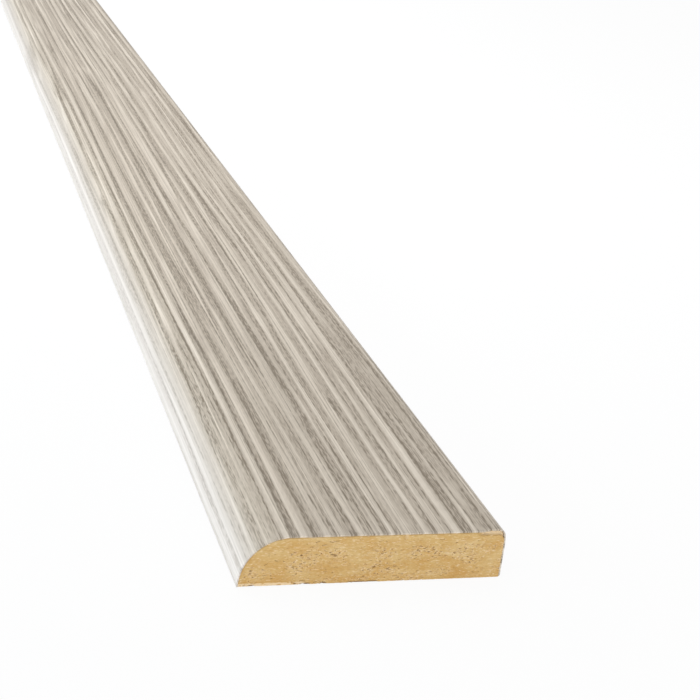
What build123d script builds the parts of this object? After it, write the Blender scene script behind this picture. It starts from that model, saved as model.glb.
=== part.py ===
"""Floor beading: a strip of MDF with a quarter-round nose, wrapped in a printed wood-grain foil.

The strip lies flat on its underside. X runs across it, with the nose at -X and the square back edge at +X,
Y runs along it and Z is up. The origin lies under the middle of the strip, on the surface that carries it.
Sizes are in millimetres.
"""

import os

from build123d import *

# Driving dimensions
length = 2400.0  # as sold
width = 36.0  # over the foil, from the toe of the nose to the back edge
thickness = 7.0  # over the foil, from the underside to the show face
toe_height = 0.3  # short upright that the nose's quarter round stands on
arris_radius = 1.0  # eased corner between the show face and the back edge
heel_radius = 0.4  # eased corner between the back edge and the underside, cut after wrapping
foil_thickness = 0.2  # printed foil, the same on the nose, the show face and the back edge

# The quarter round takes up all the thickness above the toe
nose_radius = thickness - toe_height


# Finished section: the outline of the strip with its foil on. In a sketch, Y is the strip's height
with BuildSketch(Plane.XZ) as finished_section:
    Rectangle(width, thickness, align=(Align.CENTER, Align.MIN))
    nose_corner, arris_corner = finished_section.vertices().group_by(Axis.Y)[-1].sort_by(Axis.X)
    heel_corner = finished_section.vertices().group_by(Axis.Y)[0].sort_by(Axis.X)[-1]
    fillet(nose_corner, nose_radius)
    fillet(arris_corner, arris_radius)
    fillet(heel_corner, heel_radius)

# Glue line: where the foil lies on the MDF, one foil thickness inside the finished outline.
# The foil stops at the underside, so the outline isn't drawn in along the bottom.
with BuildSketch(Plane.XZ) as glue_line:
    Rectangle(width - 2 * foil_thickness, thickness - foil_thickness, align=(Align.CENTER, Align.MIN))
    nose_corner, arris_corner = glue_line.vertices().group_by(Axis.Y)[-1].sort_by(Axis.X)
    fillet(nose_corner, nose_radius - foil_thickness)
    fillet(arris_corner, arris_radius - foil_thickness)

# MDF core: everything inside the glue line, sawn square at both ends
with BuildPart() as mdf_core:
    with BuildSketch(Plane.XZ):
        add(finished_section.sketch)
        add(glue_line.sketch, mode=Mode.INTERSECT)
    extrude(amount=length / 2, both=True)
mdf_core.part.label = "mdf_core"

# Decor foil: the skin between the glue line and the finished outline, from the toe round to the heel
with BuildPart() as decor_foil:
    with BuildSketch(Plane.XZ):
        add(finished_section.sketch)
        add(glue_line.sketch, mode=Mode.SUBTRACT)
    extrude(amount=length / 2, both=True)
decor_foil.part.label = "decor_foil"

os.makedirs("parts", exist_ok=True)
for piece in (mdf_core.part, decor_foil.part):
    export_step(piece, f"parts/{piece.label}.step")
    print(piece.label, "volume", round(piece.volume), "mm3, size", piece.bounding_box().size)
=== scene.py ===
# %% [markdown]
# # A floor beading
# A floor beading hides the gap that is left round a laid floor. This one is a strip of MDF, moulded with a
# quarter-round nose and wrapped in a foil that is printed with a pale grey wood. The ends are sawn, so the
# MDF shows there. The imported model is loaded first, and gives the main sizes.

import math
from functools import reduce

import bmesh
import bpy
import numpy as np
from mathutils import Matrix, Vector


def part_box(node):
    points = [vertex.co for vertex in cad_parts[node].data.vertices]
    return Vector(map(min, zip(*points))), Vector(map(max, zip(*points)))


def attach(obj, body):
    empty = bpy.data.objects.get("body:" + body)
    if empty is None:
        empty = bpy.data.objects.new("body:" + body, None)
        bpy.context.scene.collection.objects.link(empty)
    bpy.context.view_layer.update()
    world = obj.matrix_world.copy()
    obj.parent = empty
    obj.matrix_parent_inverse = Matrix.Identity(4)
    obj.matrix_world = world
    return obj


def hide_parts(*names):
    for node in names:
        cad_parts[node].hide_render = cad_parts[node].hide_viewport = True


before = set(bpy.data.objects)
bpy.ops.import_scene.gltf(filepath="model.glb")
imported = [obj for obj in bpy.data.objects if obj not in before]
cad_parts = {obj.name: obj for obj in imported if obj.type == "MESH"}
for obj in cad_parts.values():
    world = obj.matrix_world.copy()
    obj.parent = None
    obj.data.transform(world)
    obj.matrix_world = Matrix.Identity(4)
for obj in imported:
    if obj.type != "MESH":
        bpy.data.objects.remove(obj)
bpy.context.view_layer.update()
foil_low, foil_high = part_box("decor_foil")
core_low, core_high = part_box("mdf_core")

# %% [markdown]
# ## The section
# The strip has the same section all along: an upright toe, the quarter round of the nose, the flat show
# face, an eased arris and the square back edge with its eased heel. The foil follows that line from the
# toe to the heel, so the length of the line says how wide the foil was before it was wrapped. A cutter of
# the same shape, one foil thickness smaller, would mould the MDF.

# %% Sizes of the section, in metres
MM = 0.001

width, length, thickness = foil_high - foil_low
near_end, far_end = foil_low.y, foil_high.y
foil_thickness = foil_high.x - core_high.x
toe_height = 0.3 * MM
arris_radius = 1.0 * MM
heel_radius = 0.4 * MM
nose_radius = thickness - toe_height
print("section:", round(width / MM, 2), "by", round(thickness / MM, 2), "mm")

# %% Distances round the section line, in metres
QUARTER = math.pi / 2

# The heel is eased after wrapping, so its round cuts the foil off before it has turned all the way under
heel_turn = math.acos(1 - foil_thickness / heel_radius)
to_nose_end = toe_height + QUARTER * nose_radius
to_arris = to_nose_end + width - nose_radius - arris_radius
to_heel = to_arris + QUARTER * arris_radius + thickness - arris_radius - heel_radius
foil_reach = to_heel + heel_turn * heel_radius

# The board's line lies one foil thickness further in, so both of its quarter rounds are shorter
core_reach = to_arris + QUARTER * arris_radius - QUARTER * 2 * foil_thickness
print("the foil laid flat:", round(foil_reach / MM, 2), "by", round(foil_thickness / MM, 2), "mm")

# %% [markdown]
# ## Helpers for node trees
# Geometry Nodes and shader nodes are wired in the same way, so a few short helpers serve both. They put a
# node down and fill its sockets with numbers or wires.

# %% Put nodes down and wire them
def live(sockets, name):
    """The socket of that name that is in use: many nodes keep one for each kind of value."""
    return next(socket for socket in sockets if socket.enabled and socket.name == name)


def feed(tree, socket, value):
    """Wires a socket to another, or gives it a fixed value."""
    if isinstance(value, bpy.types.NodeSocket):
        tree.links.new(value, socket)
    else:
        socket.default_value = value


def put(tree, kind, inputs=None, **options):
    """Adds a node with its options set, and fills the inputs that are named."""
    made = tree.nodes.new(kind)
    for name, value in options.items():
        setattr(made, name, value)
    for name, value in (inputs or {}).items():
        feed(tree, live(made.inputs, name), value)
    return made


def place(tree, x, y, z):
    return put(tree, "ShaderNodeCombineXYZ", {"X": x, "Y": y, "Z": z}).outputs[0]


def apart(tree, vector):
    return put(tree, "ShaderNodeSeparateXYZ", {"Vector": vector}).outputs


# %% Sums on numbers and wires
def maths(tree, operation, *values):
    made = put(tree, "ShaderNodeMath", operation=operation)
    for socket, value in zip(made.inputs, values):
        feed(tree, socket, value)
    return made.outputs[0]


def times(tree, *values):
    return reduce(lambda so_far, value: maths(tree, "MULTIPLY", so_far, value), values)


def total(tree, *values):
    return reduce(lambda so_far, value: maths(tree, "ADD", so_far, value), values)


def less(tree, value, taken):
    return maths(tree, "SUBTRACT", value, taken)


def over(tree, value, divisor):
    return maths(tree, "DIVIDE", value, divisor)


def mix(tree, share, first, second, **options):
    """Goes from the first value to the second as the share goes from 0 to 1."""
    made = put(tree, "ShaderNodeMix", {"Factor": share, "A": first, "B": second}, **options)
    return live(made.outputs, "Result")


def rise(tree, value, low, high):
    """0 below low, 1 above high, smooth between them. It falls where low is the larger."""
    inputs = {"Value": value, "From Min": low, "From Max": high}
    return put(tree, "ShaderNodeMapRange", inputs, interpolation_type="SMOOTHSTEP").outputs["Result"]


# %% [markdown]
# ## The section line
# The line could be typed in as points, but then no size could be changed. Here five corners are joined by
# straight runs, and the Fillet Curve node eases each corner by its own radius, as a moulding machine's
# cutters do. The foil and the board share it as a node group, each with its own sizes.

# %% Section line as a node group
SECTION_SIZES = ("Width", "Thickness", "Nose radius", "Arris radius", "Heel radius")
ROUND_STEPS = 64


def new_tree(name, **inputs):
    """A geometry tree with inputs named by kind: the tree, its inputs' sockets and its output socket."""
    tree = bpy.data.node_groups.new(name, "GeometryNodeTree")
    for kind, labels in inputs.items():
        for label in labels:
            tree.interface.new_socket(label, in_out="INPUT", socket_type="NodeSocket" + kind)
    tree.interface.new_socket("Geometry", in_out="OUTPUT", socket_type="NodeSocketGeometry")
    size = tree.nodes.new("NodeGroupInput").outputs
    return tree, size, tree.nodes.new("NodeGroupOutput").inputs["Geometry"]


def by_index(tree, kind, values):
    """Gives each point its own value, in order."""
    index = tree.nodes.new("GeometryNodeInputIndex").outputs["Index"]
    chosen = put(tree, "GeometryNodeIndexSwitch", {"Index": index}, data_type=kind)
    for _ in range(len(values) - len(chosen.index_switch_items)):
        chosen.index_switch_items.new()
    for number, value in enumerate(values):
        feed(tree, live(chosen.inputs, str(number)), value)
    return live(chosen.outputs, "Output")


def section_line_tree():
    tree, size, out = new_tree("section line", Float=SECTION_SIZES)
    back = times(tree, size["Width"], 0.5)
    toe = times(tree, size["Width"], -0.5)
    under = less(tree, back, size["Heel radius"])
    turns = [
        place(tree, toe, 0.0, 0.0),
        place(tree, toe, 0.0, size["Thickness"]),
        place(tree, back, 0.0, size["Thickness"]),
        place(tree, back, 0.0, 0.0),
        place(tree, under, 0.0, 0.0),
    ]
    rounds = [0.0, size["Nose radius"], size["Arris radius"], size["Heel radius"], 0.0]
    points = put(tree, "GeometryNodeMeshLine", {"Count": len(turns)})
    line = put(tree, "GeometryNodeMeshToCurve", {"Mesh": points.outputs["Mesh"]})
    bent = put(tree, "GeometryNodeSetPosition", {
        "Geometry": line.outputs["Curve"], "Position": by_index(tree, "VECTOR", turns)})
    eased = put(tree, "GeometryNodeFilletCurve", {
        "Curve": bent.outputs["Geometry"], "Count": ROUND_STEPS, "Radius": by_index(tree, "FLOAT", rounds),
    }, mode="POLY")
    feed(tree, out, eased.outputs["Curve"])
    return tree


section_line = section_line_tree()
print("section line:", len(section_line.nodes), "nodes")

# %% [markdown]
# ## From the line to a strip
# Sweeping the line with Curve to Mesh would give only plain caps for the sawn ends. Here a flat grid is
# laid along the line as a piece's near end, drawn out to the strip's length and closed again where it
# started. Each point keeps how far round the line it lies, for the saw marks and the maps.

# %% Lay a grid along the line and draw it out
WELD = 0.0005 * MM


def position(tree):
    return apart(tree, tree.nodes.new("GeometryNodeInputPosition").outputs["Position"])


def unit_grid(tree, columns, rows):
    return put(tree, "GeometryNodeMeshGrid", {
        "Size X": 1.0, "Size Y": 1.0, "Vertices X": columns, "Vertices Y": rows}).outputs["Mesh"]


def on_section(tree, size, start, reach):
    """Samples the section line along a unit grid's first side. Returns how far around each point is, its
    share of the grid's second side, and the line's place and direction there."""
    line = put(tree, "GeometryNodeGroup", node_tree=section_line)
    for label in SECTION_SIZES:
        feed(tree, line.inputs[label], size[label])
    at = position(tree)
    share = total(tree, at["X"], 0.5)
    other_share = total(tree, at["Y"], 0.5)
    around = maths(tree, "MULTIPLY_ADD", share, less(tree, reach, start), start)
    sample = put(tree, "GeometryNodeSampleCurve", {
        "Curves": line.outputs["Geometry"], "Length": around}, mode="LENGTH").outputs
    return around, other_share, apart(tree, sample["Position"]), apart(tree, sample["Tangent"])


def move_to(tree, geometry, x, y, z):
    moved = put(tree, "GeometryNodeSetPosition", {"Geometry": geometry, "Position": place(tree, x, y, z)})
    return moved.outputs["Geometry"]


def draw_out(tree, flat_end, run):
    """Draws a flat shape out along the strip and closes the end that it started from."""
    drawn = put(tree, "GeometryNodeExtrudeMesh", {
        "Mesh": flat_end, "Offset": place(tree, 0.0, run, 0.0), "Offset Scale": 1.0, "Individual": False,
    }, mode="FACES")
    closing = put(tree, "GeometryNodeFlipFaces", {"Mesh": flat_end})
    both = tree.nodes.new("GeometryNodeJoinGeometry")
    for shape in (drawn, closing):
        tree.links.new(shape.outputs["Mesh"], both.inputs["Geometry"])
    joined = put(tree, "GeometryNodeMergeByDistance", {
        "Geometry": both.outputs["Geometry"], "Distance": WELD})
    return joined.outputs["Geometry"]


# %% Keep values on the points, set the ends back, and dress the result
def keep(tree, geometry, name, value, domain="POINT"):
    """Stores a value on every point, so that later steps and materials can read it."""
    stored = put(tree, "GeometryNodeStoreNamedAttribute", {
        "Geometry": geometry, "Name": name, "Value": value}, data_type="FLOAT", domain=domain)
    return stored.outputs["Geometry"]


def kept(tree, name):
    read_back = put(tree, "GeometryNodeInputNamedAttribute", {"Name": name}, data_type="FLOAT")
    return live(read_back.outputs, "Attribute")


def sawn_side(tree):
    """-1 at the near end of the strip and 1 at the far end."""
    return maths(tree, "SIGN", position(tree)["Y"])


def set_back(tree, geometry, depth):
    """Moves the points of both sawn ends inwards along the strip."""
    inward = place(tree, 0.0, times(tree, sawn_side(tree), -1.0, depth), 0.0)
    moved = put(tree, "GeometryNodeSetPosition", {"Geometry": geometry, "Offset": inward})
    return moved.outputs["Geometry"]


def dress(tree, geometry, out, material):
    """The end of every piece's tree: real faces, wearing their material."""
    real = put(tree, "GeometryNodeRealizeInstances", {"Geometry": geometry})
    worn = put(tree, "GeometryNodeSetMaterial", {
        "Geometry": real.outputs["Geometry"], "Material": material})
    feed(tree, out, worn.outputs["Geometry"])


# %% [markdown]
# ## The foil
# The foil is a printed sheet, 0.2 mm thick, that a wrapping machine rolls round the MDF. A Solidify
# modifier on a bent sheet would give the same skin. Here a narrow ribbon, as wide as the foil is thick, is
# laid along the section line and drawn out along the strip, because the ribbon is then also the cut edge
# that shows at the sawn ends.

# %% Bend the ribbon round the section
FOIL_SIZES = SECTION_SIZES + ("Length", "Reach", "Foil thickness", "To heel", "Nibble", "Tear", "To arris")


def foil_ribbon(tree, size):
    """The foil's cut edge at the near end, laid along the section line."""
    around, share, at, way = on_section(tree, size, 0.0, size["Reach"])
    depth = times(tree, share, size["Foil thickness"])
    inside = less(tree, times(tree, size["Width"], 0.5), size["Foil thickness"])
    past_heel = maths(tree, "GREATER_THAN", around, size["To heel"])

    # Inwards is square to the line, except round the heel, where the foil's inner side stays upright
    bent_x = maths(tree, "MULTIPLY_ADD", way["Z"], depth, at["X"])
    bent_z = less(tree, at["Z"], times(tree, way["X"], depth))
    heel_x = maths(tree, "MULTIPLY_ADD", share, less(tree, inside, at["X"]), at["X"])
    x = mix(tree, past_heel, bent_x, heel_x)
    z = mix(tree, past_heel, bent_z, at["Z"])

    ribbon = keep(tree, unit_grid(tree, size["Columns"], 2), "around", around)
    ribbon = keep(tree, ribbon, "depth", share)
    return move_to(tree, ribbon, x, times(tree, size["Length"], -0.5), z)


# %% [markdown]
# ## The foil's sawn edge
# A saw blade nibbles at a brittle foil, breaks a few wider chips out of it, and here has torn a little off
# at the arris. Cutting such teeth out with a Boolean would be slow. Noise along the edge says how far each
# of its points is set back, with another seed at each end of the strip.

# %% Nibble the edge, and finish the foil's tree
SEED_APART = 3.7
NIBBLES_PER_MM = 2.4
NIBBLE_DETAIL, NIBBLE_ROUGHNESS = 2.0, 0.6
CHIPS_PER_MM = 0.7
CHIP_SEED = 5.0
CHIP_LEVELS = (0.55, 0.75)
TEAR_FADES = (2.6 * MM, 0.9 * MM)


def noise(tree, at, detail=0.0, roughness=0.5):
    """Smooth noise, whose patches are about one unit wide at the places given."""
    inputs = {"Vector": at, "Scale": 1.0, "Detail": detail, "Roughness": roughness}
    return put(tree, "ShaderNodeTexNoise", inputs).outputs["Fac"]


def nibbled_edge(tree, size):
    """How far the saw has set each point of the foil's edge back."""
    around = kept(tree, "around")
    along_edge = over(tree, around, MM)
    seed = maths(tree, "MULTIPLY_ADD", sawn_side(tree), SEED_APART, size["Seed"])
    nibble_at = place(tree, times(tree, along_edge, NIBBLES_PER_MM), seed, 0.0)
    nibbles = noise(tree, nibble_at, NIBBLE_DETAIL, NIBBLE_ROUGHNESS)
    chip_at = place(tree, times(tree, along_edge, CHIPS_PER_MM), seed, CHIP_SEED)
    chips = rise(tree, noise(tree, chip_at), *CHIP_LEVELS)
    from_arris = maths(tree, "ABSOLUTE", less(tree, around, size["To arris"]))
    torn = rise(tree, from_arris, *TEAR_FADES)
    depth = maths(tree, "MULTIPLY_ADD", chips, size["Nibble"], times(tree, nibbles, size["Nibble"]))
    return total(tree, depth, times(tree, torn, nibbles, size["Tear"]))


def foil_tree():
    counts = ("Columns", "Seed")
    tree, size, out = new_tree("wrap the foil", Float=FOIL_SIZES, Int=counts, Material=("Material",))
    wrap = draw_out(tree, foil_ribbon(tree, size), size["Length"])
    wrap = set_back(tree, wrap, nibbled_edge(tree, size))
    dress(tree, wrap, out, size["Material"])
    return tree


wrap_the_foil = foil_tree()
print("foil tree:", len(wrap_the_foil.nodes), "nodes")

# %% [markdown]
# ## The print
# The foil copies straight-grained wood: pale ribbons a millimetre or two wide that run for a hand's length
# or more, thinner streaks inside them, and short dark pores. A photograph of wood would give one fixed
# picture. Noise that is stretched along the strip gives the same kinds of streak at any length. A kind is
# given as its width or gap and its run, in millimetres, and a seed.

# %% Streaks, and grain that wanders
SWAY, SWAY_REACH = (14.0, 140.0, 1.7), 1.2
WAVER, WAVER_REACH = (3.0, 60.0, 8.3), 0.2
RAGGED, RAGGED_REACH = (0.3, 1.8, 3.6), 0.035


def streaks(tree, across, along, kind):
    """Noise stretched into streaks of this kind."""
    wide, run, seed = kind
    return noise(tree, place(tree, over(tree, across, wide), over(tree, along, run), seed))


def about_zero(tree, value, amount):
    """Noise turned into a swing about zero, of that amount from end to end."""
    return times(tree, less(tree, value, 0.5), amount)


def wandering_grain(tree, across, along):
    """The place across the foil, swaying a little, neighbours together, with ragged edges."""
    sway = about_zero(tree, streaks(tree, across, along, SWAY), SWAY_REACH)
    waver = about_zero(tree, streaks(tree, across, along, WAVER), WAVER_REACH)
    ragged = about_zero(tree, streaks(tree, across, along, RAGGED), RAGGED_REACH)
    return total(tree, across, sway, waver, ragged)


print("the grain sways by up to", (SWAY_REACH + WAVER_REACH + RAGGED_REACH) / 2, "mm either way")

# %% Pale ribbons with a dark edge
RIBBON_GAP = 2.35
CROWDING, CROWDING_TURNS = (2.6, 420.0, 33.7), 1.2
RIBBON_LEVELS, RIBBON_MEAN, RIBBON_WEIGHT = (-0.5, 1.0), 0.38, 0.41
STRENGTH, STRENGTH_LEVELS, WEAKEST = (2.8, 240.0, 6.2), (0.26, 0.66), 0.35
EDGED, EDGED_LEVELS = (1.6, 90.0, 12.6), (0.36, 0.64)
EDGE_TURN = 2.3
EDGE_LEVELS, EDGE_MEAN, EDGE_WEIGHT = (0.82, 1.0), 0.12, 0.40


def pale_ribbons(tree, grain, along):
    """Ribbons that crowd and spread, some stronger than others: their tone and their phase."""
    crowding = about_zero(tree, streaks(tree, grain, along, CROWDING), CROWDING_TURNS)
    turns = total(tree, over(tree, grain, RIBBON_GAP), crowding)
    phase = times(tree, turns, 2 * math.pi)
    ribbons = rise(tree, maths(tree, "SINE", phase), *RIBBON_LEVELS)
    strength = rise(tree, streaks(tree, grain, along, STRENGTH), *STRENGTH_LEVELS)
    strength = maths(tree, "MULTIPLY_ADD", strength, 1 - WEAKEST, WEAKEST)
    return times(tree, less(tree, ribbons, RIBBON_MEAN), strength, RIBBON_WEIGHT), phase


def ribbon_edges(tree, grain, along, phase):
    """A thin dark edge on one side of each ribbon, in some places more than in others."""
    edged = rise(tree, streaks(tree, grain, along, EDGED), *EDGED_LEVELS)
    edge = rise(tree, maths(tree, "SINE", total(tree, phase, EDGE_TURN)), *EDGE_LEVELS)
    return times(tree, less(tree, EDGE_MEAN, edge), times(tree, edged, EDGE_WEIGHT))


print("ribbons round the foil: about", round(foil_reach / MM / RIBBON_GAP))

# %% Thin lines and pores
SHADE, SHADE_LEVELS = (2.0, 160.0, 9.9), (0.30, 0.66)
DARK, DARK_HALF, DARK_MEAN, DARK_WEIGHT = (2.6, 300.0, 5.1), 0.045, 0.20, 0.42
THIN_DARK, THIN_DARK_HALF, THIN_DARK_WEIGHT = (0.8, 110.0, 9.4), 0.06, -0.32
THIN_PALE, THIN_PALE_HALF, THIN_PALE_WEIGHT = (1.0, 95.0, 2.2), 0.065, 0.22
PORE_LEVELS = (0.34, 0.66)
POROUS_TONES = (0.56, 0.24)
PORE_DEPTH, LEAST_PORE_DEPTH = 0.42, 0.09


def thin_lines(tree, across, along, kind, half_width):
    """Lines of this kind, joining and parting: 1 on a line and 0 beside it."""
    away = maths(tree, "ABSOLUTE", less(tree, streaks(tree, across, along, kind), 0.5))
    return rise(tree, away, half_width, 0.0)


def grain_lines(tree, grain, along):
    """Dark lines between the ribbons, with thinner dark and pale ones: the tone of each."""
    shade = rise(tree, streaks(tree, grain, along, SHADE), *SHADE_LEVELS)
    dark = thin_lines(tree, grain, along, DARK, DARK_HALF)
    dark = times(tree, less(tree, DARK_MEAN, dark), times(tree, shade, DARK_WEIGHT))
    thin_dark = times(tree, thin_lines(tree, grain, along, THIN_DARK, THIN_DARK_HALF), THIN_DARK_WEIGHT)
    thin_pale = times(tree, thin_lines(tree, grain, along, THIN_PALE, THIN_PALE_HALF), THIN_PALE_WEIGHT)
    return dark, thin_dark, thin_pale


def with_pores(tree, tone, pores):
    """Short dashes of pores, deepest in the darkest wood."""
    porous = rise(tree, tone, *POROUS_TONES)
    depth = maths(tree, "MULTIPLY_ADD", porous, PORE_DEPTH, LEAST_PORE_DEPTH)
    return total(tree, tone, times(tree, depth, about_zero(tree, rise(tree, pores, *PORE_LEVELS), 1.0)))


# %% [markdown]
# ## The foil's finish
# The tones of all the streaks are added up and turned into colour by a Color Ramp, from dark lines to the
# palest ribbons. Over the nose a painted highlight makes the print paler, quieter and a little greyer. The
# pattern is read from the foil's own map, around and along, so it follows the nose. A clear coat gives a
# soft sheen, and the fibres and pores press a faint relief into it.

# %% Print on the foil
PRINT_MAP = "print"
PRINT_LINE = (0.240, 0.186, 0.126, 1.0)
PRINT_GROUND = (0.473, 0.396, 0.304, 1.0)
PRINT_RIBBON = (0.750, 0.656, 0.536, 1.0)
PRINT_PALEST = (0.920, 0.818, 0.686, 1.0)
PRINT_STOPS = ((0.0, PRINT_LINE), (0.35, PRINT_GROUND), (0.69, PRINT_RIBBON), (1.0, PRINT_PALEST))
# The cool tint of the painted highlight over the nose
PAINTED_HIGHLIGHT_TINT = (1.000, 1.042, 1.156, 1.0)
MEAN_TONE, TONE_TO_RAMP = 0.525, 0.8
FIBRES, FIBRE_WEIGHT = (0.20, 16.0, 7.7), 0.40
PORES = (0.13, 1.4, 4.4)
# How far round the foil the painted highlight over the nose reaches, in millimetres, and how strong it is
PAINTED_HIGHLIGHT_FADES, PAINTED_HIGHLIGHT_SHARE = (6.8, 4.4), 0.65
HIGHLIGHT_QUIET_WEIGHT, HIGHLIGHT_PALE_TONE = 0.25, 0.60
HIGHLIGHT_GREY_FADES = (7.5, 1.5)
FOIL_ROUGHNESS, COAT_ROUGHNESS = (0.38, 0.54), 0.38
FIBRE_RELIEF, PORE_RELIEF, RELIEF_HEIGHT = 0.6, 0.4, 0.03 * MM


def new_material(name):
    material = bpy.data.materials.new(name)
    material.use_nodes = True
    tree = material.node_tree
    return material, tree, tree.nodes["Principled BSDF"]


def colour_ramp(tree, value, stops):
    """A Color Ramp with these stops, as (place, colour) pairs."""
    made = put(tree, "ShaderNodeValToRGB", {"Fac": value})
    band = made.color_ramp
    while len(band.elements) < len(stops):
        band.elements.new(0.5)
    for element, (at, colour) in zip(band.elements, stops):
        element.position = at
        element.color = colour
    return made.outputs["Color"]


def print_colour(tree, grain, tone):
    """The tone as a colour, with a painted highlight over the nose that makes it paler, quieter and greyer.
    """
    # Painted highlight: over the nose the tone is made paler and quieter, then tinted greyer
    painted_highlight = times(tree, rise(tree, grain, *PAINTED_HIGHLIGHT_FADES), PAINTED_HIGHLIGHT_SHARE)
    quiet = maths(tree, "MULTIPLY_ADD", tone, HIGHLIGHT_QUIET_WEIGHT, HIGHLIGHT_PALE_TONE)
    tone = mix(tree, painted_highlight, tone, quiet)
    colour = colour_ramp(tree, times(tree, tone, TONE_TO_RAMP), PRINT_STOPS)
    highlight_grey = rise(tree, grain, *HIGHLIGHT_GREY_FADES)
    return mix(tree, highlight_grey, colour, PAINTED_HIGHLIGHT_TINT, data_type="RGBA", blend_type="MULTIPLY")


def sheen(tree, surface, fibres, pores):
    """A soft coat over the print, with the fibres and pores pressed into it."""
    surface.inputs["Coat Weight"].default_value = 1.0
    surface.inputs["Coat Roughness"].default_value = COAT_ROUGHNESS
    feed(tree, surface.inputs["Roughness"], mix(tree, fibres, *FOIL_ROUGHNESS))
    relief = total(tree, times(tree, fibres, FIBRE_RELIEF), times(tree, pores, PORE_RELIEF))
    bump = put(tree, "ShaderNodeBump", {"Height": relief, "Strength": 0.35, "Distance": RELIEF_HEIGHT})
    feed(tree, surface.inputs["Normal"], bump.outputs["Normal"])


def wood_print():
    material, tree, surface = new_material("wood_print_foil")
    on_foil = apart(tree, put(tree, "ShaderNodeUVMap", uv_map=PRINT_MAP).outputs["UV"])
    across = over(tree, on_foil["X"], MM)
    along = over(tree, on_foil["Y"], MM)
    grain = wandering_grain(tree, across, along)
    ribbons, phase = pale_ribbons(tree, grain, along)
    edges = ribbon_edges(tree, grain, along, phase)
    lines = grain_lines(tree, grain, along)
    fibres = streaks(tree, grain, along, FIBRES)
    pores = streaks(tree, across, along, PORES)
    tone = total(tree, MEAN_TONE, ribbons, edges, *lines, about_zero(tree, fibres, FIBRE_WEIGHT))
    feed(tree, surface.inputs["Base Color"], print_colour(tree, grain, with_pores(tree, tone, pores)))
    sheen(tree, surface, fibres, pores)
    return material


foil_finish = wood_print()
print("print:", len(foil_finish.node_tree.nodes), "nodes")

# %% [markdown]
# ## Wrapping the strip
# The tree could stay live as a modifier. It runs once here instead, with this strip's sizes, and what it
# makes becomes a plain mesh, so that the next steps can cut it and lay maps on it.

# %% Wrap the strip
def build(name, tree, values):
    """Runs a tree with these inputs and keeps what it makes as the plain mesh of a new object."""
    piece = bpy.data.objects.new(name, bpy.data.meshes.new(name))
    bpy.context.scene.collection.objects.link(piece)
    modifier = piece.modifiers.new(tree.name, "NODES")
    modifier.node_group = tree
    for item in tree.interface.items_tree:
        if item.in_out == "INPUT":
            modifier[item.identifier] = values[item.name]
    graph = bpy.context.evaluated_depsgraph_get()
    made = bpy.data.meshes.new_from_object(
        piece.evaluated_get(graph), preserve_all_data_layers=True, depsgraph=graph)
    piece.modifiers.remove(modifier)
    piece.data = made
    made.name = name
    return piece


foil = build("wood_print_foil", wrap_the_foil, {
    "Width": width, "Thickness": thickness, "Nose radius": nose_radius, "Arris radius": arris_radius,
    "Heel radius": heel_radius, "Length": length, "Reach": foil_reach, "Foil thickness": foil_thickness,
    "To heel": to_heel, "Nibble": 0.04 * MM, "Tear": 0.75 * MM, "To arris": to_arris,
    "Columns": 300, "Seed": 11, "Material": foil_finish,
})
print("foil faces as wrapped:", len(foil.data.polygons))

# %% [markdown]
# ## The foil's maps
# The print's map is the foil laid flat, in metres. A second map is for baking the finish into a picture.
# The strip is about 50 times as long as the foil is wide, so it is cut across into bands, and that map
# sets the bands side by side, which uses most of the picture.

# %% Cut the foil into bands
BANDS = 4
band_length = length / BANDS
band_cuts = [near_end + band_length * number for number in range(1, BANDS)]


def cut_and_turn_out(piece, cuts):
    """Cuts a strip across at each place along Y, and points all its faces outwards."""
    mesh = bmesh.new()
    mesh.from_mesh(piece.data)
    for along in cuts:
        everything = mesh.verts[:] + mesh.edges[:] + mesh.faces[:]
        bmesh.ops.bisect_plane(mesh, geom=everything, plane_co=(0, along, 0), plane_no=(0, 1, 0))
    bmesh.ops.recalc_face_normals(mesh, faces=mesh.faces)
    mesh.to_mesh(piece.data)
    mesh.free()


cut_and_turn_out(foil, band_cuts)
print("foil faces:", len(foil.data.polygons))

# %% Read a mesh and lay a map on it
BAKE_MAP = "OFBake"


def pull(items, name, kind, each=1):
    values = np.zeros(len(items) * each, kind)
    items.foreach_get(name, values)
    return values


def read(mesh, name):
    return pull(mesh.attributes[name].data, "value", np.float32)


def corners(mesh):
    """The vertex and the face of every face corner, and the places of all vertices."""
    vertex = pull(mesh.loops, "vertex_index", np.int32)
    counts = pull(mesh.polygons, "loop_total", np.int32)
    face = np.repeat(np.arange(len(counts)), counts)
    return vertex, face, pull(mesh.vertices, "co", np.float32, 3).reshape(-1, 3)


def face_mean(face, values):
    """The mean over each face, given back to all its corners."""
    return (np.bincount(face, values) / np.bincount(face))[face]


def lay(mesh, name, u, v):
    layer = mesh.uv_layers.new(name=name)
    layer.uv.foreach_set("vector", np.stack([u, v], 1).astype(np.float32).ravel())


# %% Lay the foil flat
MARGIN = (0.01, 0.99)
BAND_COLUMNS = (0.0, 0.95)
INNER_COLUMN = (0.96, 0.99)
FOIL_ROWS = (0.005, 0.995)
OUTSIDE_DEPTH = 0.01


def within(share, low, high):
    """Takes 0 to low and 1 to high."""
    return low + (high - low) * share


def banded(along, face):
    """The band that a face lies in, and each corner's place along that band, from 0 to 1."""
    share = (along - near_end) / band_length
    band = np.clip(np.floor(face_mean(face, share)), 0, BANDS - 1)
    return band, np.clip(share - band, 0, 1)


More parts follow.
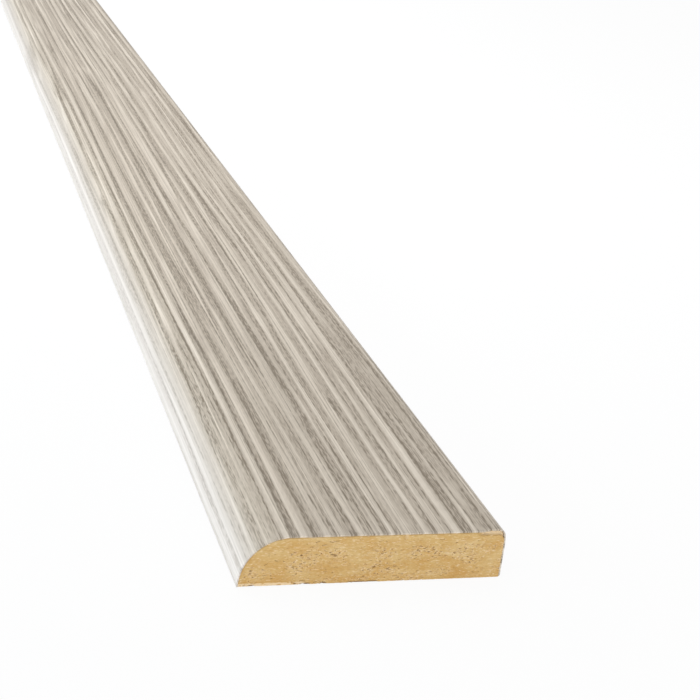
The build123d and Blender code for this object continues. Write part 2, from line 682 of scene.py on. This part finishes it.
def map_foil(mesh):
    vertex, face, at = corners(mesh)
    around = read(mesh, "around")[vertex]
    along = at[vertex, 1]
    lay(mesh, PRINT_MAP, around, along)
    # Faces on the outside go into the bands' columns, and all others into one narrow column
    outside = face_mean(face, read(mesh, "depth")[vertex]) < OUTSIDE_DEPTH
    band, share = banded(along, face)
    in_band = (band + within(around / foil_reach, *MARGIN)) / BANDS
    u = np.where(outside, within(in_band, *BAND_COLUMNS), within(around / foil_reach, *INNER_COLUMN))
    lay(mesh, BAKE_MAP, u, within(share, *FOIL_ROWS))
    mesh.uv_layers.active = mesh.uv_layers[PRINT_MAP]


map_foil(foil.data)
print("foil maps:", [layer.name for layer in foil.data.uv_layers])

# %% [markdown]
# ## The sawn MDF
# MDF is wood fibre pressed with glue. A saw leaves its end slightly furry, with small pits where bundles
# of fibre were pulled out. A bump map could only shade that. Here each sawn end is a fine grid with real
# relief, and the depth of its pits is kept on the points, so that the colour can follow the shape.

# %% Pits and fur
LOOSE_PATCH, LOOSE_DETAIL, LOOSE_LEVELS = (4.5, 2.2), 1.0, (0.38, 0.62)
BELOW_SKIN = (0.5 * MM, 2.6 * MM)
CRUMB, CRUMB_DETAIL = (0.46, 0.20), 1.0
PIT_LEVELS = (0.60, 0.74)
RIM_LEVELS = (0.48, 0.58)
FUR, FUR_DETAIL = (0.45, 0.14), 2.0


def patches(tree, spot, size, detail):
    """Noise over a sawn end, in patches about this wide and high, in millimetres."""
    x, z, seed = spot
    wide, high = size
    return noise(tree, place(tree, over(tree, x, wide), seed, over(tree, z, high)), detail)


def pits_and_rims(tree, spot):
    """Pits, in patches below the dense skin at the board's top, and the fibre that stands up round them."""
    loose = rise(tree, patches(tree, spot, LOOSE_PATCH, LOOSE_DETAIL), *LOOSE_LEVELS)
    loose = times(tree, loose, rise(tree, kept(tree, "under_top"), *BELOW_SKIN))
    crumbs = patches(tree, spot, CRUMB, CRUMB_DETAIL)
    pits = times(tree, rise(tree, crumbs, *PIT_LEVELS), loose)
    return pits, times(tree, rise(tree, crumbs, *RIM_LEVELS), loose)


# %% [markdown]
# ## The board's broken edges
# The saw breaks the top edge a little all along and more at the arris, with one pale nick in it. The
# bottom edge is frayed near the toe, with a few shallow chips that are painted dark with shadow. These
# could be sculpted by hand. As bands and spots on the same grid they keep their real sizes, given in
# millimetres across the strip and in metres from the edge.

# %% Breaks, frayed edge and chips
TOP_BREAK, TOP_BREAK_WEIGHT = (0.22 * MM, 0.0), 0.35
ARRIS_BREAK_ACROSS, ARRIS_BREAK_BELOW = (13.8, 15.2), (0.62 * MM, 0.34 * MM)
NICK_AT, NICK_ACROSS, NICK_BELOW, NICK_WEIGHT = 4.1, (0.50, 0.10), (1.2 * MM, 0.3 * MM), 0.5
FRAYED_ACROSS, FRAYED_ABOVE = (-8.0, -9.6), (0.52 * MM, 0.30 * MM)
FRAY_PATCH, FRAY_DETAIL, FRAY_LEVELS, FRAY_WEIGHT = (0.9, 0.5), 1.0, (0.36, 0.50), 0.8
CHIP_WIDTH, CHIP_ROW, CHIP_DETAIL, CHIPPED_LEVELS = 1.5, 31.0, 1.0, (0.51, 0.60)
CHIPPED_ABOVE, CHIPPED_ACROSS = (0.24 * MM, 0.10 * MM), (6.0, 0.0)


def broken_top(tree, x):
    under_top = kept(tree, "under_top")
    top = times(tree, rise(tree, under_top, *TOP_BREAK), TOP_BREAK_WEIGHT)
    arris = times(tree, rise(tree, x, *ARRIS_BREAK_ACROSS), rise(tree, under_top, *ARRIS_BREAK_BELOW))
    from_nick = maths(tree, "ABSOLUTE", less(tree, x, NICK_AT))
    nick = times(tree, rise(tree, from_nick, *NICK_ACROSS), rise(tree, under_top, *NICK_BELOW))
    return total(tree, top, arris, times(tree, nick, NICK_WEIGHT))


def frayed_bottom(tree, spot):
    low = rise(tree, kept(tree, "over_bottom"), *FRAYED_ABOVE)
    edge = times(tree, rise(tree, spot[0], *FRAYED_ACROSS), low)
    return times(tree, edge, rise(tree, patches(tree, spot, FRAY_PATCH, FRAY_DETAIL), *FRAY_LEVELS))


# The chips are shallow, and the dark colour in them is painted shadow
def chipped_bottom(tree, spot):
    x, _, seed = spot
    chip_at = place(tree, over(tree, x, CHIP_WIDTH), seed, CHIP_ROW)
    chip = rise(tree, noise(tree, chip_at, CHIP_DETAIL), *CHIPPED_LEVELS)
    low = rise(tree, kept(tree, "over_bottom"), *CHIPPED_ABOVE)
    return times(tree, chip, low, rise(tree, x, *CHIPPED_ACROSS))


# %% [markdown]
# ## The board's tree
# The board's section is drawn out like the foil's, but its near end is a whole grid, from the underside up
# to the section line. Each point keeps how far it lies under the top and over the bottom, and then the
# relief sets both ends back along the strip.

# %% MDF tree
CORE_SIZES = SECTION_SIZES + ("Length", "Toe", "Reach", "Recess", "Pit", "Fur", "Break", "Chip")
END_SEED_APART = 9.7


def round_drop(tree, past, radius):
    """How far a round of this radius has dropped, this far past where it starts."""
    past = maths(tree, "MAXIMUM", past, 0.0)
    level = less(tree, times(tree, radius, radius), times(tree, past, past))
    return less(tree, radius, maths(tree, "SQRT", level))


def sawn_relief(tree, size):
    """How far each point of a sawn end lies back, in metres, and how pitted and torn it is there."""
    at = position(tree)
    x = over(tree, at["X"], MM)
    z = over(tree, at["Z"], MM)
    spot = x, z, maths(tree, "MULTIPLY_ADD", sawn_side(tree), END_SEED_APART, size["Seed"])
    pits, rims = pits_and_rims(tree, spot)
    fur = about_zero(tree, patches(tree, spot, FUR, FUR_DETAIL), 1.0)
    broken = broken_top(tree, x)
    chip = chipped_bottom(tree, spot)
    depth = total(tree, size["Recess"], times(tree, pits, size["Pit"]), times(tree, fur, size["Fur"]),
                  times(tree, broken, size["Break"]), times(tree, chip, size["Chip"]))
    return {
        "set_back": maths(tree, "MAXIMUM", depth, 0.0), "pit": pits, "rim": rims, "chip": chip,
        "torn": total(tree, broken, times(tree, frayed_bottom(tree, spot), FRAY_WEIGHT)),
    }


def board_end(tree, size):
    """The near end of the board as a flat grid."""
    around, share, at, _ = on_section(tree, size, size["Toe"], size["Reach"])
    half_width = times(tree, size["Width"], 0.5)
    heel_start = less(tree, half_width, times(tree, size["Heel radius"], 0.5))
    bottom = round_drop(tree, less(tree, at["X"], heel_start), size["Heel radius"])
    z = maths(tree, "MULTIPLY_ADD", share, less(tree, at["Z"], bottom), bottom)
    end = keep(tree, unit_grid(tree, size["Columns"], size["Rows"]), "around", around)
    end = keep(tree, end, "under_top", less(tree, at["Z"], z))
    end = keep(tree, end, "over_bottom", less(tree, z, bottom))
    return move_to(tree, end, at["X"], times(tree, size["Length"], -0.5), z)


def core_tree():
    counts = ("Columns", "Rows", "Seed")
    tree, size, out = new_tree("saw the mdf", Float=CORE_SIZES, Int=counts, Material=("Material",))
    board = draw_out(tree, board_end(tree, size), size["Length"])
    for name, value in sawn_relief(tree, size).items():
        board = keep(tree, board, name, value)
    board = set_back(tree, board, kept(tree, "set_back"))
    dress(tree, board, out, size["Material"])
    return tree


saw_the_mdf = core_tree()
print("mdf tree:", len(saw_the_mdf.nodes), "nodes")

# %% [markdown]
# ## The look of MDF
# Bare MDF is a warm tan. It is cloudy, because the fibre mat is uneven before it is pressed, and speckled
# with pale and dark fibres that lie flat in the board. Freshly torn fibre is paler, and the pits are brown
# with shade. A picture would only lie on the surface. Object coordinates carry the noise right through the
# board.

# %% MDF finish
MDF_ORANGE = (0.590, 0.343, 0.104, 1.0)
MDF_TAN = (0.645, 0.429, 0.170, 1.0)
MDF_PALE = (0.715, 0.512, 0.240, 1.0)
MDF_TORN = (0.870, 0.680, 0.430, 1.0)
MDF_PAINTED_SHADE = (0.200, 0.100, 0.028, 1.0)
MDF_STOPS = ((0.1, MDF_ORANGE), (0.5, MDF_TAN), (0.9, MDF_PALE))
MDF_MEAN_TONE, PALER_AT_TOP = 0.38, 0.20

# Sizes across, along and up, in millimetres, and the detail of the noise
CLOUDS, CLOUD_SWING = (4.5, 6.0, 2.0, 2.0), 1.6
WARMTH, WARM_LEVELS = (2.6, 4.0, 1.3, 1.0), (0.45, 0.70)
SPECKS, SPECK_SWING = (0.45, 0.60, 0.20, 2.0), 1.0
THREADS, THREAD_SWING = (1.3, 1.6, 0.15, 1.0), 0.6
FLECKS, FLECK_LEVELS = (0.60, 0.90, 0.15, 1.0), (0.58, 0.72)
TORN_LEVELS = (0.1, 0.9)


def fibre_mat(tree, at, kind):
    """Noise through the board, in patches of this kind."""
    *sizes, detail = kind
    scaled = [over(tree, at[axis], size * MM) for axis, size in zip("XYZ", sizes)]
    return noise(tree, place(tree, *scaled), detail)


def on_points(tree, name):
    return put(tree, "ShaderNodeAttribute", attribute_name=name).outputs["Fac"]


def bare_mdf():
    material, tree, surface = new_material("bare_mdf")
    at = apart(tree, put(tree, "ShaderNodeTexCoord").outputs["Object"])
    clouds = about_zero(tree, fibre_mat(tree, at, CLOUDS), CLOUD_SWING)
    specks = fibre_mat(tree, at, SPECKS)
    threads = about_zero(tree, fibre_mat(tree, at, THREADS), THREAD_SWING)
    height = times(tree, rise(tree, at["Z"], 0.0, thickness), PALER_AT_TOP)
    tone = total(tree, MDF_MEAN_TONE, clouds, about_zero(tree, specks, SPECK_SWING), threads, height)
    colour = colour_ramp(tree, tone, MDF_STOPS)

    # Each layer of colour lies over the one before it, as strongly as its share says
    layers = (
        (times(tree, rise(tree, fibre_mat(tree, at, WARMTH), *WARM_LEVELS), 0.45), MDF_ORANGE),
        (times(tree, rise(tree, fibre_mat(tree, at, FLECKS), *FLECK_LEVELS), 0.60), MDF_TORN),
        (times(tree, on_points(tree, "rim"), 0.45), MDF_TORN),
        (rise(tree, on_points(tree, "torn"), *TORN_LEVELS), MDF_TORN),
        # The pits and the chips are painted dark brown: painted shade in the hollows
        (times(tree, on_points(tree, "pit"), 0.55), MDF_PAINTED_SHADE),
        (times(tree, on_points(tree, "chip"), 0.85), MDF_PAINTED_SHADE),
    )
    for share, layer in layers:
        colour = mix(tree, share, colour, layer, data_type="RGBA")
    feed(tree, surface.inputs["Base Color"], colour)
    surface.inputs["Roughness"].default_value = 0.85
    bump = put(tree, "ShaderNodeBump", {"Height": specks, "Strength": 0.5, "Distance": 0.06 * MM})
    feed(tree, surface.inputs["Normal"], bump.outputs["Normal"])
    return material


mdf_finish = bare_mdf()
print("mdf finish:", len(mdf_finish.node_tree.nodes), "nodes")

# %% [markdown]
# ## Sawing the board
# The board is one foil thickness smaller than the strip at the nose, the face and the back edge, and it
# reaches the underside. Its grid is fine enough for pits a few tenths of a millimetre wide. It is cut at
# the same places as the foil, for its own bake map.

# %% Saw the board
core = build("sawn_mdf", saw_the_mdf, {
    "Width": width - 2 * foil_thickness, "Thickness": thickness - foil_thickness,
    "Nose radius": nose_radius - foil_thickness, "Arris radius": arris_radius - foil_thickness,
    "Heel radius": heel_radius, "Length": length, "Toe": toe_height, "Reach": core_reach,
    "Recess": 0.08 * MM, "Pit": 0.24 * MM, "Fur": 0.12 * MM, "Break": 0.45 * MM, "Chip": 0.07 * MM,
    "Columns": 420, "Rows": 104, "Seed": 5, "Material": mdf_finish,
})
cut_and_turn_out(core, band_cuts)
print("mdf faces:", len(core.data.polygons))

# %% [markdown]
# ## The board's map
# Only the ends and the underside of the board show, so they get most of its bake map: the two ends above,
# the underside in bands below. The sides that the foil hides share a narrow column. An automatic unwrap
# would give nearly all of the map to the long sides.

# %% Map the board for baking
END_DEPTH = 2 * MM
NEAR_END_ROW, FAR_END_ROW, END_ROW_HEIGHT = 0.76, 0.51, 0.23
LOWER_ROWS = (0.01, 0.49)
SIDE_COLUMN = (0.965, 0.99)


def map_board(mesh):
    vertex, face, at = corners(mesh)
    x, along, z = at[vertex].T
    over_bottom = read(mesh, "over_bottom")[vertex]
    under_top = read(mesh, "under_top")[vertex]
    around = read(mesh, "around")[vertex]
    band, share = banded(along, face)

    u_end = within((x - core_low.x) / (core_high.x - core_low.x), *MARGIN)
    v_end = np.where(along < 0, NEAR_END_ROW, FAR_END_ROW) + END_ROW_HEIGHT * z / thickness
    u_under = within((band + u_end) / BANDS, *BAND_COLUMNS)
    v_under = within(share, *LOWER_ROWS)
    round_side = np.where(around > core_reach / 2, around + under_top, around - under_top)
    u_side = within((round_side + thickness) / (core_reach + 2 * thickness), *SIDE_COLUMN)
    v_side = within((band + within(share, *MARGIN)) / BANDS, *LOWER_ROWS)

    sawn = face_mean(face, np.abs(along)) > far_end - END_DEPTH
    under = face_mean(face, over_bottom) < WELD
    u = np.where(sawn, u_end, np.where(under, u_under, u_side))
    v = np.where(sawn, v_end, np.where(under, v_under, v_side))
    lay(mesh, BAKE_MAP, u, v)


map_board(core.data)
print("mdf maps:", [layer.name for layer in core.data.uv_layers])

# %% [markdown]
# ## Torn fibres
# Loose fibres cling to the sawn MDF, some pale and some brown. Modelling a few hundred by hand would be
# slow, and a particle system would leave instances behind. A tree strews points over the sawn faces, puts
# a thin tapered splinter on each, turned mostly along the board's layers, and makes them real. None may
# stand out past the saw cut.

# %% Choose where fibres lie, and shape them
FIBRES_UNDER_TOP = 0.5 * MM
FIBRES_HALF_WIDTH = 15.6 * MM
TILT, TWIST = 0.5, 0.06


def random_between(tree, low, high, seed):
    made = put(tree, "FunctionNodeRandomValue", {"Min": low, "Max": high, "Seed": seed}, data_type="FLOAT")
    return live(made.outputs, "Value")


def sawn_faces(tree, size):
    """1 on the faces of the sawn ends, away from their edges, and 0 elsewhere."""
    at = position(tree)
    end_starts = less(tree, size["Cut"], END_DEPTH)
    sawn = maths(tree, "GREATER_THAN", maths(tree, "ABSOLUTE", at["Y"]), end_starts)
    inner = maths(tree, "GREATER_THAN", kept(tree, "under_top"), FIBRES_UNDER_TOP)
    between = maths(tree, "LESS_THAN", maths(tree, "ABSOLUTE", at["X"]), FIBRES_HALF_WIDTH)
    chosen = times(tree, sawn, inner, between)

    # Judged at the middle of each face, so that the long faces that only end at the saw cut stay bare
    on_face = put(tree, "GeometryNodeFieldOnDomain", {"Value": chosen}, data_type="FLOAT", domain="FACE")
    return on_face.outputs["Value"]


def splinters(tree, size, points):
    """A tapered splinter on every point, each with its own turn, thickness, length and tone."""
    splinter = put(tree, "GeometryNodeMeshCone", {
        "Vertices": 4, "Radius Top": 0.2, "Radius Bottom": 0.5, "Depth": 1.0}).outputs["Mesh"]
    tilt = random_between(tree, QUARTER - TILT, QUARTER + TILT, 1)
    turn = place(tree, 0.0, tilt, random_between(tree, -TWIST, TWIST, 2))
    thin = random_between(tree, size["Thinnest"], size["Thickest"], 3)
    long = random_between(tree, size["Shortest"], size["Longest"], 4)
    rotation = put(tree, "FunctionNodeEulerToRotation", {"Euler": turn}).outputs["Rotation"]
    scale = place(tree, thin, thin, long)
    strewn = put(tree, "GeometryNodeInstanceOnPoints", {
        "Points": points, "Instance": splinter, "Rotation": rotation, "Scale": scale})
    return keep(tree, strewn.outputs["Instances"], "tone", random_between(tree, 0.0, 1.0, 5), "INSTANCE")


# %% Fibre tree
FIBRE_SIZES = ("Shortest", "Longest", "Thinnest", "Thickest", "Density", "Cut")


def fibre_tree():
    tree, size, out = new_tree(
        "strew the fibres", Float=FIBRE_SIZES, Int=("Seed",), Material=("Material",), Object=("Board",))
    board = put(tree, "GeometryNodeObjectInfo", {"Object": size["Board"]}).outputs["Geometry"]
    points = put(tree, "GeometryNodeDistributePointsOnFaces", {
        "Mesh": board, "Selection": sawn_faces(tree, size),
        "Density": size["Density"], "Seed": size["Seed"]}).outputs["Points"]
    real = put(tree, "GeometryNodeRealizeInstances", {"Geometry": splinters(tree, size, points)})

    # Once real, splinters are pressed back to the saw cut or the floor where they would pass it
    tip = position(tree)
    y = maths(tree, "MINIMUM", tip["Y"], size["Cut"])
    y = maths(tree, "MAXIMUM", y, times(tree, size["Cut"], -1.0))
    cut = move_to(tree, real.outputs["Geometry"], tip["X"], y, maths(tree, "MAXIMUM", tip["Z"], 0.0))
    dress(tree, cut, out, size["Material"])
    return tree


strew_the_fibres = fibre_tree()
print("fibre tree:", len(strew_the_fibres.nodes), "nodes")

# %% [markdown]
# ## Strewing the fibres
# Each fibre has one tone, from brown to a pale tan, with a fine grain over it. One colour for all would
# hide them on the board. Each face gets its own square of the bake map.

# %% Fibre finish
FIBRE_BROWN = (0.300, 0.165, 0.060, 1.0)
FIBRE_PALE = (0.860, 0.660, 0.400, 1.0)
FIBRE_STOPS = ((0.1, FIBRE_BROWN), (0.45, MDF_TAN), (0.9, FIBRE_PALE))
FIBRE_GRAIN_PER_M, FIBRE_GRAIN_SWING = 12.0 / MM, 0.4
FIBRE_ROUGHNESS = (0.7, 0.9)


def torn_fibre():
    material, tree, surface = new_material("torn_fibre")
    at = put(tree, "ShaderNodeTexCoord").outputs["Object"]
    fine = put(tree, "ShaderNodeVectorMath", {"Vector": at, "Scale": FIBRE_GRAIN_PER_M}, operation="SCALE")
    grain = noise(tree, fine.outputs[0])
    tone = total(tree, on_points(tree, "tone"), about_zero(tree, grain, FIBRE_GRAIN_SWING))
    feed(tree, surface.inputs["Base Color"], colour_ramp(tree, tone, FIBRE_STOPS))
    feed(tree, surface.inputs["Roughness"], mix(tree, grain, *FIBRE_ROUGHNESS))
    return material


fibre_finish = torn_fibre()
print("fibre finish:", len(fibre_finish.node_tree.nodes), "nodes")

# %% Strew the fibres
FACES_A_FIBRE = 6
TILE_LOW, TILE_HIGH = 0.2, 0.8

fibres = build("torn_fibres", strew_the_fibres, {
    "Shortest": 0.20 * MM, "Longest": 0.75 * MM, "Thinnest": 0.05 * MM, "Thickest": 0.11 * MM,
    "Density": 1.6 / (MM * MM), "Cut": far_end, "Seed": 3, "Board": core, "Material": fibre_finish,
})


def tile_faces(mesh):
    """Gives every face of a mesh of four-sided faces its own square of the bake map."""
    count = len(mesh.polygons)
    side = math.ceil(math.sqrt(count))
    number = np.arange(count)
    left, low = number % side, number // side
    u = left[:, None] + np.array([TILE_LOW, TILE_HIGH, TILE_HIGH, TILE_LOW])
    v = low[:, None] + np.array([TILE_LOW, TILE_LOW, TILE_HIGH, TILE_HIGH])
    lay(mesh, BAKE_MAP, u.ravel() / side, v.ravel() / side)


tile_faces(fibres.data)
print("fibres:", len(fibres.data.polygons) // FACES_A_FIBRE)

# %% [markdown]
# ## Finishing the pieces
# The rounds are shaded smooth, and edges sharper than 35 degrees, such as the saw cut's, stay crisp. The
# strip has no joints, so every piece rides on its one body. The foil and the board are made in place of the
# two imported solids, which are hidden, and each piece keeps the finish that its tree gave it.

# %% Finish the pieces
SHARP = math.radians(35)

for piece, slot in ((foil, "wood_print_foil"), (core, "mdf"), (fibres, "mdf")):
    piece.data.shade_smooth()
    piece.data.set_sharp_from_angle(angle=SHARP)
    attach(piece, "root")
    print(piece.name, "rides on root with the slot", slot)
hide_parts("decor_foil")
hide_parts("mdf_core")

# %% [markdown]
# ## The floor
# The strip lies on a plain white floor. Lighting a grey floor until it is white would burn out the pale
# print. So the floor glows plain white to the camera and in reflections, mixed with a little of its lit
# surface, which keeps the shadow beside the strip.

# %% Floor
FLOOR_SIDE = 400.0
FLOOR_DROP = 0.1 * MM
FLOOR_WHITE = (0.92, 0.92, 0.92, 1.0)
GLOW_SHARE = 0.93


def white_floor():
    material, tree, surface = new_material("white_floor")
    surface.inputs["Base Color"].default_value = FLOOR_WHITE
    surface.inputs["Roughness"].default_value = 0.9
    ray = tree.nodes.new("ShaderNodeLightPath").outputs
    seen = maths(tree, "MAXIMUM", ray["Is Camera Ray"], ray["Is Glossy Ray"])
    seen = maths(tree, "MAXIMUM", seen, ray["Is Transmission Ray"])
    white = put(tree, "ShaderNodeEmission", {"Color": (1.0, 1.0, 1.0, 1.0), "Strength": 1.0})
    blend = tree.nodes.new("ShaderNodeMixShader")
    feed(tree, blend.inputs["Fac"], times(tree, seen, GLOW_SHARE))
    tree.links.new(surface.outputs["BSDF"], blend.inputs[1])
    tree.links.new(white.outputs["Emission"], blend.inputs[2])
    tree.links.new(blend.outputs["Shader"], tree.nodes["Material Output"].inputs["Surface"])
    return material


half = FLOOR_SIDE / 2
floor_corners = [(-half, -half), (half, -half), (half, half), (-half, half)]
floor_mesh = bpy.data.meshes.new("floor")
floor_mesh.from_pydata([(x, y, -FLOOR_DROP) for x, y in floor_corners], [], [(0, 1, 2, 3)])
floor_mesh.materials.append(white_floor())
floor = bpy.data.objects.new("floor", floor_mesh)
bpy.context.scene.collection.objects.link(floor)
print("floor:", FLOOR_SIDE, "m wide,", FLOOR_DROP / MM, "mm below the strip")

# %% [markdown]
# ## The light
# The photo shows soft, even light. One large lamp overhead would leave the nose and the sawn ends dull, so
# a long lamp hangs over the show face, one stands beside the nose and one before each end. They light at a
# plain level, so a colour renders about as it is written. No lamp shows in the picture or in the foil's
# sheen.

# %% Light
SKY_STRENGTH = 0.35
LOW_LAMP = 0.14
ON_STRIP = (0.0, 0.0, 0.0)
END_LAMP = {"size": (1.4, 0.28), "power": 9.5}
COOL = (0.74, 0.88, 1.0)


def softbox(name, at, aim, size, power):
    """A rectangular soft lamp, aimed at a point, that neither the camera nor a reflection shows."""
    lamp = bpy.data.lights.new(name, "AREA")
    lamp.shape = "RECTANGLE"
    lamp.size, lamp.size_y = size
    lamp.energy = power
    holder = bpy.data.objects.new(name, lamp)
    holder.location = at
    holder.rotation_euler = (Vector(aim) - Vector(at)).to_track_quat("-Z", "Y").to_euler()
    holder.visible_camera = False
    holder.visible_glossy = False
    bpy.context.scene.collection.objects.link(holder)
    print(name, "at", [round(value, 2) for value in at], "with", power, "W")
    return lamp


world = bpy.data.worlds.new("studio")
world.use_nodes = True
sky = world.node_tree.nodes["Background"]
sky.inputs["Color"].default_value = (1.0, 1.0, 1.0, 1.0)
sky.inputs["Strength"].default_value = SKY_STRENGTH
bpy.context.scene.world = world

softbox("overhead", (0.0, 0.0, 1.0), ON_STRIP, size=(2.0, 4.5), power=14.5)
softbox("show_light", (0.0, 0.0, LOW_LAMP), ON_STRIP, size=(0.4, length - 0.16), power=1.9)
softbox("front_fill", (-0.3, near_end - 1.6, LOW_LAMP), (0.0, near_end, 0.03), **END_LAMP)
softbox("back_fill", (0.3, far_end + 1.6, LOW_LAMP), (0.0, far_end, 0.03), **END_LAMP)
nose_light = softbox("nose_light", (-0.6, 0.0, LOW_LAMP), ON_STRIP, size=(length + 1.0, 0.25), power=8.5)
nose_light.color = COOL

# %% [markdown]
# ## The camera
# The photo looks down the strip from just before its near end, slightly from the nose's side. The camera
# was fitted to the outline of the sawn end and to the two long edges. Aiming it with a Track To constraint
# would leave out its roll, so its turns are given one by one.

# %% Camera
CAMERA_FROM_NEAR_END = Vector((-60.36, -159.44, 94.97)) * MM
LOOKS_DOWN = math.radians(20.42)
TURNED = math.radians(18.53)
ROLLED = math.radians(7.23)

camera_data = bpy.data.cameras.new("camera")
camera_data.sensor_width = 36.0
camera_data.lens = 76.26
camera_data.clip_start = 0.01
camera_data.clip_end = 500.0
camera = bpy.data.objects.new("camera", camera_data)
turn = Matrix.Rotation(-TURNED, 4, "Z")
turn = turn @ Matrix.Rotation(QUARTER - LOOKS_DOWN, 4, "X")
turn = turn @ Matrix.Rotation(ROLLED, 4, "Z")
camera.matrix_world = Matrix.Translation(Vector((0, near_end, 0)) + CAMERA_FROM_NEAR_END) @ turn
bpy.context.scene.collection.objects.link(camera)
bpy.context.scene.camera = camera
bpy.context.scene.view_settings.view_transform = "Standard"
print("camera lens:", round(camera_data.lens, 2), "mm")
